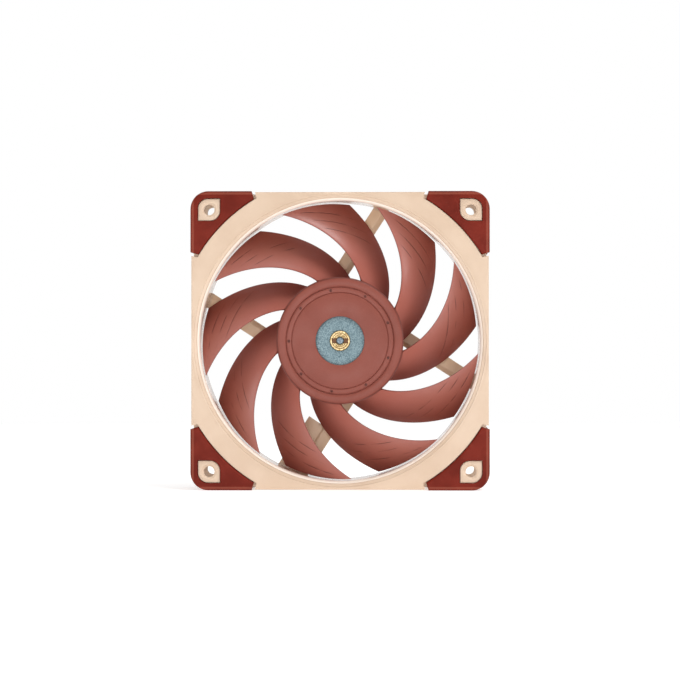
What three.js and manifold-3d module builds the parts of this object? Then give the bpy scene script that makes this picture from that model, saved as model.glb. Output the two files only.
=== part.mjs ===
// Square axial case fan for cooling electronics.
// A moulded frame carries four struts, a motor base and soft pads on its eight corner flanges.
// A nine-blade impeller runs inside it on an outer-rotor motor with a sleeve bearing.
//
// Millimetres. Each piece is drawn with the fan's axis along +Z, the rear face at z = 0 and the
// intake face towards +Z. The finished group is stood on its edge at the end: the intake then
// faces -Y, +Z is up, and the origin is the centre of the fan.

import * as THREE from "three";
import { mergeVertices } from "three/addons/utils/BufferGeometryUtils.js";
import Module from "manifold-3d";

// ---------------------------------------------------------------- driving dimensions

// Outside of the fan
const FAN_SIZE = 120; // across the pads, both ways
const FAN_DEPTH = 25; // pad face to pad face
const HOLE_INSET = 7.5; // screw hole centre from the outer edge
const HOLE_RADIUS = 2.15;

// Gaps between pieces
const SEAT_GAP = 0.3; // between a piece and what it is seated on
const PRESS_GAP = 0.1; // between pieces that are pressed together
const TIP_GAP = 0.5; // blade tip to frame bore
const RUNNING_GAP = 0.06; // shaft to bearing sleeve

// Frame
const PAD_PROUD = 0.4; // pads stand this far outside the frame, on faces and sides
const FLANGE_THICK = 4;
const WALL_INSET = 0.6; // flat of the duct wall behind the flange edge
const DUCT_WALL = 2.8; // thinnest wall between the bore and the side
const DUCT_SHOULDER = 1.4; // how far the round duct wall stands outside its flats
const INLET_STEPS = 2; // ledges round the intake
const INLET_STEP_WIDTH = 1.2;
const INLET_STEP_DEPTH = 0.8;
const INLET_FLARE_DEPTH = 2.3;
const OUTLET_FLARE = 1.4;
const OUTLET_FLARE_DEPTH = 3.4;

// Corner pads
const PAD_THICK = 1.7;
const PAD_SKIRT = 1.0;
const PAD_LIP = 1.2; // how far the lip hooks behind the flange
const PAD_LIP_THICK = 0.7;
const PAD_CORNER = 7.2;
const PAD_LEG = 24.5; // along each side, from the corner
const PAD_TIP_SLANT = 1.0;
const PAD_WEB = 3.3; // pad between the screw boss and the pad's inner arc
const SEAT_RUNOUT = 0.8; // the seat runs on past the pad's tip
const BOSS_SIZE = 8.7;
const BOSS_ROUND = 3.9; // two opposite corners of the screw boss are round

// Struts
const STRUTS = 4;
const STRUT_WIDTH = 6.2;
const STRUT_HEIGHT = 3.8;
const STRUT_SHOULDER = 2.6; // height of a strut at its edges
const STRUT_RIDGE = 1.1; // ridge off the middle of the strut
const STRUT_OFFSET = 15.2; // strut centre line from the fan's axis
const STRUT_ANGLE = 57.1; // direction of the first strut, degrees
const CABLE_STRUT = 2; // which strut carries the lead's channel
const CHANNEL_WIDTH = 5;
const CHANNEL_WALL = 1.2;
const CHANNEL_START = 33; // along the strut, from its nearest point to the axis
const CHANNEL_ROOF = 1.4;
const GROOVE_WIDTH = 3.4;
const GROOVE_DEPTH = 1.8;

// Motor base
const BASE_RIM = 1.6;
const BASE_FLOOR = 1.7;
const BASE_HEIGHT = 4.5;
const LABEL_RADIUS = 19.8;
const LABEL_THICK = 0.25;
const BOARD_LEDGE = 1.1; // radial width of the ledge that the board rests on
const BOARD_LIFT = 0.7;
const BOSS_TUBE_WALL = 1.8;

// Impeller
const BLADES = 9;
const HUB_RADIUS = 25.5;
const HUB_WALL = 2.1;
const HUB_FACE = 1.3; // thickness of the hub's front disc
const HUB_SETBACK = 1.3; // hub face behind the fan's front plane
const HUB_RUN_GAP = 0.9; // rotor skirt to motor base
const HUB_WINDOW = 9.8; // round window that shows the steel cup
const HUB_RIM_WIDTH = 3.7;
const HUB_GROOVE_WIDTH = 2.2;
const HUB_GROOVE_DEPTH = 0.45;
const HUB_EDGE = 1.1; // rounding of the hub's front edge
const DIMPLE_RADIUS = 0.45;
const DIMPLE_DEPTH = 0.4;
const DIMPLE_ANGLE = 20.5; // of the first dimple, degrees
const BLADE_FRONT = 3.2; // leading edge behind the fan's front plane
const BLADE_REAR_GAP = 1.6; // trailing edge to the struts
const BLADE_ROOT_THICK = 2.6;
const BLADE_TIP_THICK = 1.4;
const KNEE_ALONG = 0.58; // where the mean line bends, as shares of its run and of its depth
const KNEE_DEEP = 0.42;
// Edge angles over the blade's span, degrees: at the hub, slope and curvature.
const LEADING_EDGE = [30.6, 47.3, -3.1];
const TRAILING_EDGE = [0.9, 53.8, -8.4];

// Motor
const YOKE_WALL = 1.2;
const YOKE_FACE = 1.2;
const MAGNET_WALL = 2.3;
const MAGNET_SHORT = 3.4; // magnet ends this far short of the cup's floor
const AIR_GAP = 0.6;
const TEETH = 4;
const TOOTH_HALF_WIDTH = 2.6;
const SHOE_THICK = 1.8;
const SHOE_HALF_ANGLE = 38; // degrees
const CORE_HUB_WALL = 2.8;
const LINER = 0.7; // insulator thickness
const LINER_FENCE = 1.0;
const LINER_GAP = 0.15;
const COIL_SIDE = 3.0;
const COIL_END = 1.3;
const COIL_CORNER = 1.0;
const COIL_TO_YOKE = 2.2;
const BOARD_THICK = 1.2;
const BOARD_MARGIN = 3.2; // board edge to the base rim
const PART_HEIGHT = 1.1; // tallest flat part on the board
const PART_TO_COIL = 0.6;
const SOLDER_GAP = 0.05;
const PIN_RADIUS = 0.4;
const PIN_TAIL = 0.6; // pin end below the board
const PIN_INSET = 1.6; // pin ring outside the board's centre hole
const POST_RADIUS = 1.0;

// Bearing
const SHAFT_RADIUS = 1.5;
const SHAFT_NOSE = 0.6;
const SLEEVE_WALL = 2.0;
const HOUSING_WALL = 1.2;
const HOUSING_FLOOR = 1.1;
const THRUST_PAD = 0.7;
const CLIP_THICK = 0.4;
const CLIP_GROOVE = 0.4;
const CLIP_WIDTH = 1.5;
const CLIP_ABOVE_END = 1.2;
const STABILISER_HEIGHT = 2.4;
const OIL_SEAL = 0.5;
const BUSHING_RADIUS = 4.0;
const BUSHING_FLANGE = 1.2;
const BUSHING_FLANGE_THICK = 1.6;
const BUSHING_NOSE = 0.9; // brass standing in front of the steel cup
const BUSHING_DISH = 0.7;
const BUSHING_GAP = 0.8; // bushing to bearing housing

// Facets round a full circle
const ROUND = 48;
const ROUND_MID = 32;
const ROUND_SMALL = 20;

// Steps in half of each arc of an outline
const ARC_FINE = 4;
const ARC = 3;
const ARC_COARSE = 2;

// ---------------------------------------------------------------- sizes that follow

const radians = THREE.MathUtils.degToRad;
const FAN_HALF = FAN_SIZE / 2;
const FRAME_HALF = FAN_HALF - PAD_PROUD;
const WALL_HALF = FRAME_HALF - WALL_INSET;
const BORE = WALL_HALF - DUCT_WALL;
const HOLE_AT = FAN_HALF - HOLE_INSET;
const FRAME_REAR = PAD_PROUD;
const FRAME_FRONT = FAN_DEPTH - PAD_PROUD;
const FLANGE_BACK = FRAME_FRONT - FLANGE_THICK; // of the front flange
const PAD_UNDERSIDE = FAN_DEPTH - PAD_THICK;
const PAD_SEAT = PAD_UNDERSIDE - SEAT_GAP;
const SKIRT_INSIDE = FAN_HALF - PAD_SKIRT;
const LEG_START = FAN_HALF - PAD_LEG;
const BOSS_REACH = (BOSS_SIZE / 2) * Math.SQRT2 - BOSS_ROUND * (Math.SQRT2 - 1);
const PAD_ARC = HOLE_AT * Math.SQRT2 - BOSS_REACH - PAD_WEB;

const STRUT_TOP = FRAME_REAR + STRUT_HEIGHT;
const BASE_TOP = FRAME_REAR + BASE_HEIGHT;
const LABEL_SEAT = FRAME_REAR + LABEL_THICK + PRESS_GAP;
const FLOOR_TOP = LABEL_SEAT + BASE_FLOOR;
const LEDGE_TOP = FLOOR_TOP + BOARD_LIFT;
const BOARD_BOTTOM = LEDGE_TOP + SEAT_GAP;
const BOARD_TOP = BOARD_BOTTOM + BOARD_THICK;

const HUB_FRONT = FAN_DEPTH - HUB_SETBACK;
const HUB_REAR = BASE_TOP + HUB_RUN_GAP;
const YOKE_FRONT = HUB_FRONT - HUB_FACE - SEAT_GAP;
const YOKE_INSIDE = YOKE_FRONT - YOKE_FACE;
const YOKE_REAR = HUB_REAR + SEAT_GAP;
const YOKE_RADIUS = HUB_RADIUS - HUB_WALL - SEAT_GAP;
const MAGNET_OUTSIDE = YOKE_RADIUS - YOKE_WALL - SEAT_GAP;
const MAGNET_INSIDE = MAGNET_OUTSIDE - MAGNET_WALL;
const BLADE_TIP = BORE - TIP_GAP;
const BLADE_LEADING_Z = FAN_DEPTH - BLADE_FRONT;
const BLADE_TRAILING_Z = STRUT_TOP + BLADE_REAR_GAP;

const SLEEVE_BORE = SHAFT_RADIUS + RUNNING_GAP;
const SLEEVE_RADIUS = SLEEVE_BORE + SLEEVE_WALL;
const HOUSING_BORE = SLEEVE_RADIUS + PRESS_GAP;
const HOUSING_RADIUS = HOUSING_BORE + HOUSING_WALL;
const BOSS_TUBE_BORE = HOUSING_RADIUS + SEAT_GAP;
const BOSS_TUBE_RADIUS = BOSS_TUBE_BORE + BOSS_TUBE_WALL;
const BASE_RADIUS = HUB_RADIUS;
const BASE_CUP = BASE_RADIUS - BASE_RIM;
const BOARD_RADIUS = BASE_CUP - BOARD_MARGIN;
const BOARD_HOLE = BOSS_TUBE_RADIUS + SEAT_GAP;
const PIN_RING = BOARD_HOLE + PIN_INSET;

const CORE_RADIUS = MAGNET_INSIDE - AIR_GAP;
const CORE_HUB = BOSS_TUBE_BORE + CORE_HUB_WALL;
const COIL_REAR = BOARD_TOP + SOLDER_GAP + PART_HEIGHT + PART_TO_COIL;
const BOSS_TUBE_TOP = COIL_REAR - SEAT_GAP;
const END_TURN = LINER + 2 * LINER_GAP + COIL_END;
const CORE_REAR = COIL_REAR + END_TURN;
const CORE_FRONT = YOKE_INSIDE - COIL_TO_YOKE - END_TURN;

const HOUSING_REAR = LABEL_SEAT + SEAT_GAP;
const THRUST_REAR = HOUSING_REAR + HOUSING_FLOOR + PRESS_GAP;
const SHAFT_REAR = THRUST_REAR + THRUST_PAD + PRESS_GAP;
const CLIP_REAR = SHAFT_REAR + CLIP_ABOVE_END;
const STABILISER_REAR = CLIP_REAR + CLIP_THICK + SEAT_GAP;
const SLEEVE_REAR = STABILISER_REAR + STABILISER_HEIGHT + PRESS_GAP;
const BUSHING_REAR = YOKE_INSIDE - PRESS_GAP - BUSHING_FLANGE_THICK;
const HOUSING_FRONT = BUSHING_REAR - BUSHING_GAP;
const SEAL_FRONT = HOUSING_FRONT - PRESS_GAP;
const SLEEVE_FRONT = SEAL_FRONT - OIL_SEAL - PRESS_GAP;

// ---------------------------------------------------------------- tools

const wasm = await Module();
wasm.setup();

const CUT = 1; // a cutting solid runs this far past what it cuts
const FLAT_TOLERANCE = 0.005;

// A three.js geometry as a solid that can be joined and cut.
function solid(geometry) {
  const bare = geometry.clone();
  bare.deleteAttribute("normal");
  bare.deleteAttribute("uv");
  const merged = mergeVertices(bare);
  return new wasm.Manifold(
    new wasm.Mesh({
      numProp: 3,
      vertProperties: merged.attributes.position.array,
      triVerts: new Uint32Array(merged.index.array),
    }),
  );
}

// A solid as a three.js geometry, with the seams in its flat faces taken out.
function geometryOf(piece) {
  const { vertProperties, triVerts } = piece.asOriginal().simplify(FLAT_TOLERANCE).getMesh();
  const geometry = new THREE.BufferGeometry();
  geometry.setAttribute("position", new THREE.BufferAttribute(new Float32Array(vertProperties), 3));
  geometry.setIndex(new THREE.BufferAttribute(new Uint32Array(triVerts), 1));
  return geometry;
}

const join = (pieces) => pieces.reduce((whole, piece) => whole.add(piece));

// A profile of [radius, z] points turned about the fan's axis.
function turned(profile, facets) {
  const points = profile.map(([radius, z]) => new THREE.Vector2(radius, z));
  if (THREE.ShapeUtils.area(points) < 0) points.reverse();
  if (!points.some((point) => point.x === 0)) points.push(points[0].clone());
  return new THREE.LatheGeometry(points, facets).rotateX(Math.PI / 2);
}

const tube = (inside, outside, rear, front, facets) =>
  turned([[inside, rear], [outside, rear], [outside, front], [inside, front]], facets);

const cylinder = (radius, rear, front, facets) =>
  turned([[0, rear], [radius, rear], [radius, front], [0, front]], facets);

// A flat outline given a thickness from rear to front.
function plate(outline, rear, front, curveSegments = ARC) {
  const options = { depth: front - rear, bevelEnabled: false, curveSegments };
  return new THREE.ExtrudeGeometry(outline, options).translate(0, 0, rear);
}

const block = (width, length, height) => new THREE.BoxGeometry(width, length, height);

function roundedSquare(half, corner) {
  const outline = new THREE.Shape();
  const arcAt = half - corner;
  outline.absarc(arcAt, arcAt, corner, 0, Math.PI / 2);
  outline.absarc(-arcAt, arcAt, corner, Math.PI / 2, Math.PI);
  outline.absarc(-arcAt, -arcAt, corner, Math.PI, 1.5 * Math.PI);
  outline.absarc(arcAt, -arcAt, corner, 1.5 * Math.PI, 2 * Math.PI);
  return outline;
}

// A circle on a path or shape, in four quarter arcs.
function circle(path, x, y, radius) {
  for (let quarter = 0; quarter < 4; quarter += 1) {
    path.absarc(x, y, radius, (quarter * Math.PI) / 2, ((quarter + 1) * Math.PI) / 2);
  }
  return path;
}

const roundHole = (x, y, radius) => circle(new THREE.Path(), x, y, radius);

// The same solid at every quarter turn.
const fourTurns = (piece) => join([0, 90, 180, 270].map((turn) => piece.rotate([0, 0, turn])));

// The same solid turned over, front to rear, about the diagonal of its corner.
const turnedOver = (piece) =>
  piece.translate([0, 0, -FAN_DEPTH / 2]).rotate([180, 0, 90]).translate([0, 0, FAN_DEPTH / 2]);

// ---------------------------------------------------------------- corner pads

// Outline of a corner: two legs along the sides and an arc about the fan's axis.
function cornerOutline(reach, corner, arc, legStart) {
  const tip = legStart - PAD_TIP_SLANT;
  const tipAngle = Math.asin(tip / arc);
  const outline = new THREE.Shape();
  outline.absarc(0, 0, arc, tipAngle, Math.PI / 2 - tipAngle);
  outline.lineTo(legStart, reach);
  outline.absarc(reach - corner, reach - corner, corner, Math.PI / 2, 0, true);
  outline.lineTo(reach, legStart);
  return outline;
}

// Outline of the screw boss: square, with the two corners on the fan's diagonal rounded.
function bossOutline(grow) {
  const half = BOSS_SIZE / 2 + grow;
  const round = BOSS_ROUND + grow;
  const low = HOLE_AT - half;
  const high = HOLE_AT + half;
  const outline = new THREE.Shape();
  outline.moveTo(high, low);
  outline.absarc(high - round, high - round, round, 0, Math.PI / 2);
  outline.lineTo(low, high);
  outline.absarc(low + round, low + round, round, Math.PI, 1.5 * Math.PI);
  return outline;
}

// One pad, on the front flange at the first corner: a cap with a skirt and a hooked lip.
function padSolid() {
  const lipFront = FLANGE_BACK - SEAT_GAP;
  const lipRear = lipFront - PAD_LIP_THICK;
  const lipInside = SKIRT_INSIDE - PAD_LIP;
  const inside = (half) => roundedSquare(half, PAD_CORNER - (FAN_HALF - half));
  return solid(plate(cornerOutline(FAN_HALF, PAD_CORNER, PAD_ARC, LEG_START), lipRear, FAN_DEPTH, ARC_FINE))
    .subtract(solid(plate(inside(SKIRT_INSIDE), lipFront, PAD_UNDERSIDE)))
    .subtract(solid(plate(inside(lipInside), lipRear - CUT, (lipFront + PAD_UNDERSIDE) / 2)))
    .subtract(solid(plate(bossOutline(SEAT_GAP), lipRear - CUT, FAN_DEPTH + CUT)));
}

// What a pad and its boss leave of the front flange at the first corner.
function padSeatCut() {
  const arc = PAD_ARC - SEAT_GAP;
  const outline = cornerOutline(FAN_HALF + CUT, CUT, arc, LEG_START - SEAT_GAP - SEAT_RUNOUT);
  const edge = SKIRT_INSIDE - SEAT_GAP;
  const flange = plate(roundedSquare(edge, PAD_CORNER - (FAN_HALF - edge)), 0, FAN_DEPTH);
  const face = solid(plate(outline, PAD_SEAT, FAN_DEPTH + CUT, ARC_FINE))
    .subtract(solid(plate(bossOutline(0), 0, FAN_DEPTH)));
  const sides = solid(plate(outline, FLANGE_BACK - CUT, FAN_DEPTH + CUT, ARC_FINE)).subtract(solid(flange));
  return face.add(sides);
}

// ---------------------------------------------------------------- frame

// The duct wall, from the stepped intake to the flared outlet.
function ductSolid() {
  const outside = WALL_HALF + DUCT_SHOULDER;
  const profile = [[outside, FRAME_FRONT]];
  const mouth = BORE + INLET_STEPS * INLET_STEP_WIDTH + PRESS_GAP;
  for (let step = 0; step < INLET_STEPS; step += 1) {
    const radius = mouth - step * INLET_STEP_WIDTH;
    profile.push([radius, FRAME_FRONT - step * INLET_STEP_DEPTH]);
    profile.push([radius - PRESS_GAP, FRAME_FRONT - (step + 1) * INLET_STEP_DEPTH]);
  }
  const ledge = FRAME_FRONT - INLET_STEPS * INLET_STEP_DEPTH;
  profile.push([BORE + INLET_STEP_WIDTH / 2, ledge]);
  profile.push([BORE, ledge - INLET_FLARE_DEPTH]);
  profile.push([BORE, FRAME_REAR + OUTLET_FLARE_DEPTH]);
  profile.push([BORE + OUTLET_FLARE, FRAME_REAR]);
  profile.push([outside, FRAME_REAR]);
  const square = roundedSquare(WALL_HALF, PAD_CORNER);
  return solid(turned(profile, ROUND)).intersect(solid(plate(square, 0, FAN_DEPTH)));
}

// The square plate at the intake, before the corners are cut for the pads.
function flangeSolid() {
  const square = block(2 * FRAME_HALF, 2 * FRAME_HALF, FLANGE_THICK);
  return solid(square.translate(0, 0, FRAME_FRONT - FLANGE_THICK / 2))
    .subtract(solid(cylinder(WALL_HALF - PRESS_GAP, 0, FAN_DEPTH, ROUND)));
}

// A bar along the first strut's centre line, from a section drawn across it: x to the left, y to the front.
function barAlongStrut(section, start, length) {
  const along = new THREE.Vector3(Math.cos(radians(STRUT_ANGLE)), Math.sin(radians(STRUT_ANGLE)), 0);
  const up = new THREE.Vector3(0, 0, 1);
  const left = new THREE.Vector3().crossVectors(up, along);
  const origin = left.clone().multiplyScalar(STRUT_OFFSET).addScaledVector(along, start);
  const place = new THREE.Matrix4().makeBasis(left, up, along).setPosition(origin);
  const outline = new THREE.Shape(section.map(([x, y]) => new THREE.Vector2(x, y)));
  const options = { depth: length, bevelEnabled: false };
  return solid(new THREE.ExtrudeGeometry(outline, options).applyMatrix4(place));
}

const rectangle = (left, right, low, high) => [[left, low], [right, low], [right, high], [left, high]];

function strutSolid() {
  const half = STRUT_WIDTH / 2;
  const section = [
    [-half, FRAME_REAR],
    [half, FRAME_REAR],
    [half, FRAME_REAR + STRUT_SHOULDER],
    [-STRUT_RIDGE, STRUT_TOP],
    [-half, FRAME_REAR + STRUT_SHOULDER],
  ];
  return barAlongStrut(section, 0, FAN_HALF);
}

// The roofed channel beside the cable strut, which opens to the rear.
function channelSolid() {
  const near = -STRUT_WIDTH / 2 + CHANNEL_WALL;
  const far = -STRUT_WIDTH / 2 - CHANNEL_WIDTH - CHANNEL_WALL;
  const top = FRAME_REAR + STRUT_SHOULDER + CHANNEL_ROOF / 2;
  const roof = barAlongStrut(rectangle(far, near, top - CHANNEL_ROOF, top), CHANNEL_START, FAN_HALF);
  const wall = barAlongStrut(
    rectangle(far, far + CHANNEL_WALL, FRAME_REAR, top), CHANNEL_START, FAN_HALF);
  return roof.add(wall);
}

// The lead's way out: a groove behind the cable strut, then the channel on through the duct wall.
function leadCut() {
  const roof = FRAME_REAR + STRUT_SHOULDER - CHANNEL_ROOF / 2;
  const near = -STRUT_WIDTH / 2;
  const mouth = barAlongStrut(
    rectangle(near - CHANNEL_WIDTH, near, -CUT, roof), CHANNEL_START + CHANNEL_WALL, FAN_SIZE);
  const groove = barAlongStrut(
    rectangle(near - CUT, near + GROOVE_WIDTH - CUT, -CUT, FRAME_REAR + GROOVE_DEPTH),
    BASE_CUP - STRUT_WIDTH, CHANNEL_START - BASE_CUP + 2 * STRUT_WIDTH);
  return mouth.add(groove);
}

// The shallow cup that holds the board and, in its boss tube, the bearing.
function baseSolid() {
  const labelSeat = Math.min(LABEL_RADIUS + SEAT_GAP, BASE_CUP);
  const ledge = BOSS_TUBE_RADIUS + BOARD_LEDGE;
  return solid(turned([
    [BOSS_TUBE_BORE, LABEL_SEAT], [labelSeat, LABEL_SEAT], [labelSeat, FRAME_REAR],
    [BASE_RADIUS, FRAME_REAR], [BASE_RADIUS, BASE_TOP], [BASE_CUP, BASE_TOP], [BASE_CUP, FLOOR_TOP],
    [ledge, FLOOR_TOP], [ledge, LEDGE_TOP], [BOSS_TUBE_RADIUS, LEDGE_TOP],
    [BOSS_TUBE_RADIUS, BOSS_TUBE_TOP], [BOSS_TUBE_BORE, BOSS_TUBE_TOP],
  ], ROUND_MID));
}

function frameSolid() {
  const flange = flangeSolid();
  const duct = join([ductSolid(), flange, turnedOver(flange)]);
  const reach = solid(tube((BASE_CUP + BASE_RADIUS) / 2, WALL_HALF - PRESS_GAP, 0, FAN_DEPTH, ROUND));
  const struts = join([...Array(STRUTS).keys()].map((n) => strutSolid().rotate([0, 0, (n * 360) / STRUTS])));
  const cableTurn = [0, 0, (CABLE_STRUT * 360) / STRUTS];
  const arms = struts.add(channelSolid().rotate(cableTurn)).intersect(reach);
  const seat = padSeatCut();
  const hole = solid(cylinder(HOLE_RADIUS, -CUT, FAN_DEPTH + CUT, ROUND_SMALL))
    .translate([HOLE_AT, HOLE_AT, 0]);
  return join([duct, arms, baseSolid()])
    .subtract(leadCut().rotate(cableTurn))
    .subtract(fourTurns(join([seat, turnedOver(seat), hole])));
}

// ---------------------------------------------------------------- impeller

const span = (radius) => (radius - HUB_RADIUS) / (BLADE_TIP - HUB_RADIUS);
const edgeAngle = ([atHub, slope, bend], share) => radians(atHub + slope * share + bend * share * share);

// A point on the blade: radius, share of the chord from the leading edge, and side, +1 or -1.
function bladePoint(radius, chord, side) {
  const share = span(radius);
  const lead = edgeAngle(LEADING_EDGE, share) * radius;
  const trail = edgeAngle(TRAILING_EDGE, share) * radius;
  // The mean line is a quadratic curve that starts flat and ends steep.
  const bend = new THREE.QuadraticBezierCurve(
    new THREE.Vector2(lead, BLADE_LEADING_Z),
    new THREE.Vector2(
      THREE.MathUtils.lerp(lead, trail, KNEE_ALONG),
      THREE.MathUtils.lerp(BLADE_LEADING_Z, BLADE_TRAILING_Z, KNEE_DEEP),
    ),
    new THREE.Vector2(trail, BLADE_TRAILING_Z),
  );
  const at = bend.getPoint(chord);
  const tangent = bend.getTangent(chord);
  const thick = THREE.MathUtils.lerp(BLADE_ROOT_THICK, BLADE_TIP_THICK, share);
  const half = (thick / 2) * (0.3 + 0.7 * Math.sin(Math.PI * Math.pow(chord, 0.8)));
  at.x += tangent.y * half * side;
  at.y -= tangent.x * half * side;
  const angle = at.x / radius;
  return new THREE.Vector3(radius * Math.cos(angle), radius * Math.sin(angle), at.y);
}

// A blade is a box whose corners are moved on to the blade's surface.
function bladeSolid() {
  const root = HUB_RADIUS - HUB_WALL / 2;
  const blade = new THREE.BoxGeometry(1, 1, 1, 5, 1, 5);
  const place = blade.attributes.position;
  for (let n = 0; n < place.count; n += 1) {
    const radius = THREE.MathUtils.lerp(root, BLADE_TIP, place.getX(n) + 0.5);
    const point = bladePoint(radius, place.getZ(n) + 0.5, Math.sign(place.getY(n)));
    place.setXYZ(n, point.x, point.y, point.z);
  }
  return solid(blade);
}

function hubSolid() {
  const inside = HUB_RADIUS - HUB_WALL;
  const under = HUB_FRONT - HUB_FACE;
  const grooveOut = HUB_RADIUS - HUB_RIM_WIDTH;
  const grooveIn = grooveOut - HUB_GROOVE_WIDTH;
  const groove = HUB_FRONT - HUB_GROOVE_DEPTH;
  return solid(turned([
    [HUB_WINDOW, under], [HUB_WINDOW, HUB_FRONT - PRESS_GAP], [grooveIn - PRESS_GAP, HUB_FRONT - PRESS_GAP],
    [grooveIn, groove], [grooveOut, groove], [grooveOut + PRESS_GAP, HUB_FRONT],
    [HUB_RADIUS - HUB_EDGE, HUB_FRONT], [HUB_RADIUS - HUB_EDGE / 4, HUB_FRONT - HUB_EDGE / 4],
    [HUB_RADIUS, HUB_FRONT - HUB_EDGE],
    [HUB_RADIUS, HUB_REAR], [inside, HUB_REAR], [inside, under],
  ], ROUND));
}

function impellerSolid() {
  const pitch = 360 / BLADES;
  const turns = [...Array(BLADES).keys()].map((n) => n * pitch);
  const blade = bladeSolid();
  const dimpleFront = HUB_FRONT - HUB_GROOVE_DEPTH;
  const dimpleAt = HUB_RADIUS - HUB_RIM_WIDTH - HUB_GROOVE_WIDTH / 2;
  const dimple = solid(cylinder(DIMPLE_RADIUS, dimpleFront - DIMPLE_DEPTH, dimpleFront + CUT, 8))
    .translate([dimpleAt, 0, 0]);
  return join([hubSolid(), ...turns.map((turn) => blade.rotate([0, 0, turn]))])
    .subtract(join(turns.map((turn) => dimple.rotate([0, 0, turn + DIMPLE_ANGLE]))));
}

// ---------------------------------------------------------------- rotor metalwork and bearing

const yokeGeometry = () => turned([
  [BUSHING_RADIUS + PRESS_GAP, YOKE_INSIDE], [YOKE_RADIUS - YOKE_WALL, YOKE_INSIDE],
  [YOKE_RADIUS - YOKE_WALL, YOKE_REAR], [YOKE_RADIUS, YOKE_REAR], [YOKE_RADIUS, YOKE_FRONT],
  [BUSHING_RADIUS + PRESS_GAP, YOKE_FRONT],
], ROUND_MID);

const magnetGeometry = () =>
  tube(MAGNET_INSIDE, MAGNET_OUTSIDE, YOKE_REAR + SEAT_GAP, YOKE_INSIDE - MAGNET_SHORT, ROUND_MID);

const bushingGeometry = () => {
  const bore = SHAFT_RADIUS + PRESS_GAP;
  const front = YOKE_FRONT + BUSHING_NOSE;
  const flange = BUSHING_RADIUS + BUSHING_FLANGE;
  return turned([
    [bore, BUSHING_REAR], [flange, BUSHING_REAR], [flange, BUSHING_REAR + BUSHING_FLANGE_THICK],
    [BUSHING_RADIUS, BUSHING_REAR + BUSHING_FLANGE_THICK], [BUSHING_RADIUS, front - PRESS_GAP],
    [BUSHING_RADIUS - PRESS_GAP, front], [BUSHING_RADIUS - BUSHING_DISH, front],
    [bore + BUSHING_DISH, front - BUSHING_DISH], [bore, front - BUSHING_DISH],
  ], ROUND_SMALL);
};

const shaftGeometry = () => {
  const groove = CLIP_REAR - PRESS_GAP;
  const grooveEnd = groove + CLIP_THICK + 2 * PRESS_GAP;
  const neck = SHAFT_RADIUS - CLIP_GROOVE;
  return turned([
    [0, SHAFT_REAR], [SHAFT_RADIUS * 0.6, SHAFT_REAR + SHAFT_NOSE / 5],
    [SHAFT_RADIUS, SHAFT_REAR + SHAFT_NOSE],
    [SHAFT_RADIUS, groove], [neck, groove], [neck, grooveEnd], [SHAFT_RADIUS, grooveEnd],
    [SHAFT_RADIUS, YOKE_FRONT + BUSHING_NOSE - BUSHING_DISH / 2 - PRESS_GAP],
    [SHAFT_RADIUS - PRESS_GAP, YOKE_FRONT + BUSHING_NOSE - BUSHING_DISH / 2],
    [0, YOKE_FRONT + BUSHING_NOSE - BUSHING_DISH / 2],
  ], ROUND_SMALL);
};

const clipGeometry = () => {
  const bore = SHAFT_RADIUS - CLIP_GROOVE + PRESS_GAP;
  return tube(bore, bore + CLIP_WIDTH, CLIP_REAR, CLIP_REAR + CLIP_THICK, ROUND_SMALL);
};

const housingGeometry = () => turned([
  [0, HOUSING_REAR], [HOUSING_RADIUS, HOUSING_REAR], [HOUSING_RADIUS, HOUSING_FRONT],
  [HOUSING_BORE, HOUSING_FRONT], [HOUSING_BORE, HOUSING_REAR + HOUSING_FLOOR],
  [0, HOUSING_REAR + HOUSING_FLOOR],
], ROUND_SMALL);

const sleeveGeometry = () => tube(SLEEVE_BORE, SLEEVE_RADIUS, SLEEVE_REAR, SLEEVE_FRONT, ROUND_SMALL);

const thrustPadGeometry = () =>
  cylinder(SLEEVE_RADIUS - PRESS_GAP, THRUST_REAR, THRUST_REAR + THRUST_PAD, ROUND_SMALL);

const stabiliserGeometry = () => {
  const front = STABILISER_REAR + STABILISER_HEIGHT;
  return tube(SLEEVE_BORE + SEAT_GAP, SLEEVE_RADIUS, STABILISER_REAR, front, ROUND_SMALL);
};

const oilSealGeometry = () =>
  tube(SLEEVE_BORE + SEAT_GAP, SLEEVE_RADIUS, SEAL_FRONT - OIL_SEAL, SEAL_FRONT, ROUND_SMALL);

// ---------------------------------------------------------------- stator

// Outline of the core: a round hub with T-shaped teeth.
function coreOutline(radius, shoe, toothHalf, hub) {
  const outline = new THREE.Shape();
  const shoeAngle = radians(SHOE_HALF_ANGLE);
  const shoeBack = radius - shoe;
  const neck = Math.asin(toothHalf / shoeBack);
  const foot = Math.asin(toothHalf / hub);
  const pitch = (2 * Math.PI) / TEETH;
  for (let tooth = 0; tooth < TEETH; tooth += 1) {
    const middle = tooth * pitch;
    outline.absarc(0, 0, radius, middle - shoeAngle, middle + shoeAngle);
    outline.absarc(0, 0, shoeBack, middle + shoeAngle, middle + neck, true);
    outline.absarc(0, 0, hub, middle + foot, middle + pitch - foot);
    outline.absarc(0, 0, shoeBack, middle + pitch - neck, middle + pitch - shoeAngle, true);
  }
  outline.holes.push(roundHole(0, 0, BOSS_TUBE_BORE));
  return outline;
}

const coreGeometry = () =>
  plate(coreOutline(CORE_RADIUS, SHOE_THICK, TOOTH_HALF_WIDTH, CORE_HUB), CORE_REAR, CORE_FRONT);

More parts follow.
